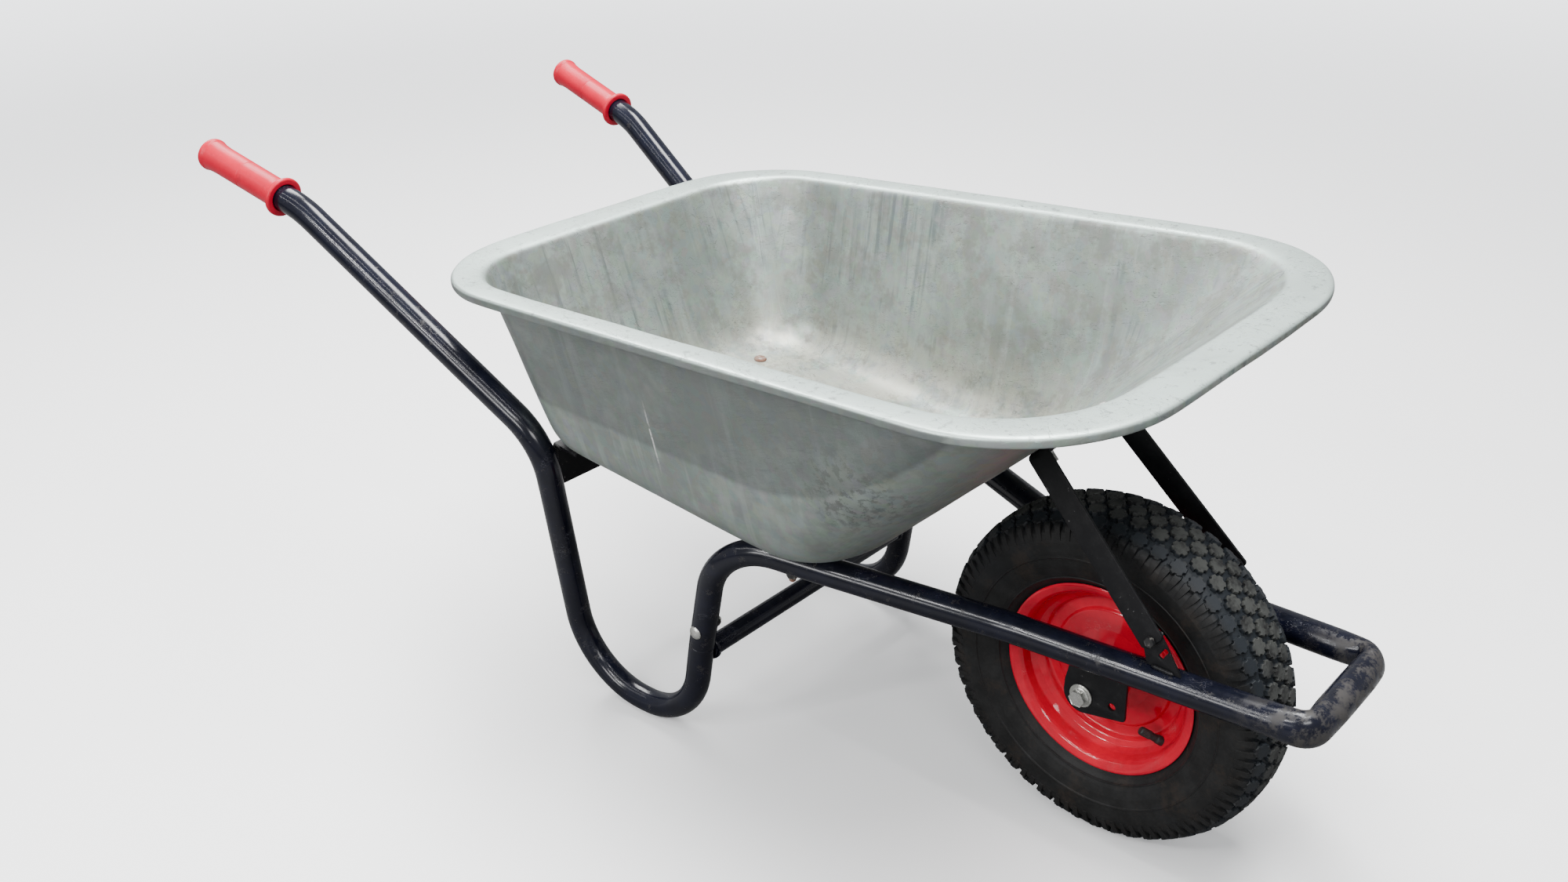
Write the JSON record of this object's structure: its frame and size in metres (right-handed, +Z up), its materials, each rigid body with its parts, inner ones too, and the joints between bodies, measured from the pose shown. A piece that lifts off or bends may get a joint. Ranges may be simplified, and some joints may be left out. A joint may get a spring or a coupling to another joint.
{
  "type": "wheelbarrow",
  "caption": "Builder's wheelbarrow: a deep pressed galvanised tray on a bolted tubular steel frame, with plastic grips and one pneumatic wheel turning on a through-bolt axle.",
  "frame": {"origin": "on the ground, under the middle of the barrow's length and width", "axes": "+X forwards to the wheel, +Y to the operator's left, +Z up"},
  "size_m": [1.4602, 0.6248, 0.6474],
  "materials": {
    "galvanised": "galvanised sheet, satin, with wear marks",
    "frame_paint": "gloss navy-black enamel",
    "red_paint": "gloss red enamel",
    "red_plastic": "satin moulded plastic",
    "tyre_rubber": "matt dusty rubber",
    "soft_rubber": "plain black rubber",
    "zinc": "bright zinc plate",
    "nylon": "natural nylon"
  },
  "bodies": {
    "frame": {"tray": "galvanised", "front_frame_tube": "frame_paint", "leg_brace_tube": "frame_paint", "rear_cross_member": "frame_paint", "handle_leg_tube_left": "frame_paint", "axle_bracket_left": "frame_paint", "strut_tab_left": "frame_paint", "strut_left": "frame_paint", "grip_left": "red_plastic", "joint_bolt_left": "zinc", "joint_nut_left": "zinc", "strut_foot_bolt_left": "zinc", "strut_foot_nut_left": "zinc", "strut_tray_bolt_left": "zinc", "strut_tray_nut_left": "zinc", "tray_bolt_rear_left": "zinc", "tray_nut_rear_left": "zinc", "tray_bolt_front_left": "zinc", "tray_nut_front_left": "zinc", "axle_washer_left": "zinc", "handle_leg_tube_right": "frame_paint", "axle_bracket_right": "frame_paint", "strut_tab_right": "frame_paint", "strut_right": "frame_paint", "grip_right": "red_plastic", "joint_bolt_right": "zinc", "joint_nut_right": "zinc", "strut_foot_bolt_right": "zinc", "strut_foot_nut_right": "zinc", "strut_tray_bolt_right": "zinc", "strut_tray_nut_right": "zinc", "tray_bolt_rear_right": "zinc", "tray_nut_rear_right": "zinc", "tray_bolt_front_right": "zinc", "tray_nut_front_right": "zinc", "axle_washer_right": "zinc", "axle_bolt": "zinc", "axle_nut": "zinc", "axle_sleeve": "zinc"},
    "wheel": {"tyre": "tyre_rubber", "inner_tube": "soft_rubber", "rim_half_left": "red_paint", "rim_half_right": "red_paint", "hub_tube": "red_paint", "hub_bush_left": "nylon", "hub_bush_right": "nylon", "valve_stem": "soft_rubber", "valve_cap": "soft_rubber"}
  },
  "joints": [
    {"name": "wheel_spin", "type": "hinge", "parent": "frame", "child": "wheel", "pos_m": [0.4606, 0, 0.2], "axis": [0, 1, 0], "continuous": true}
  ]
}
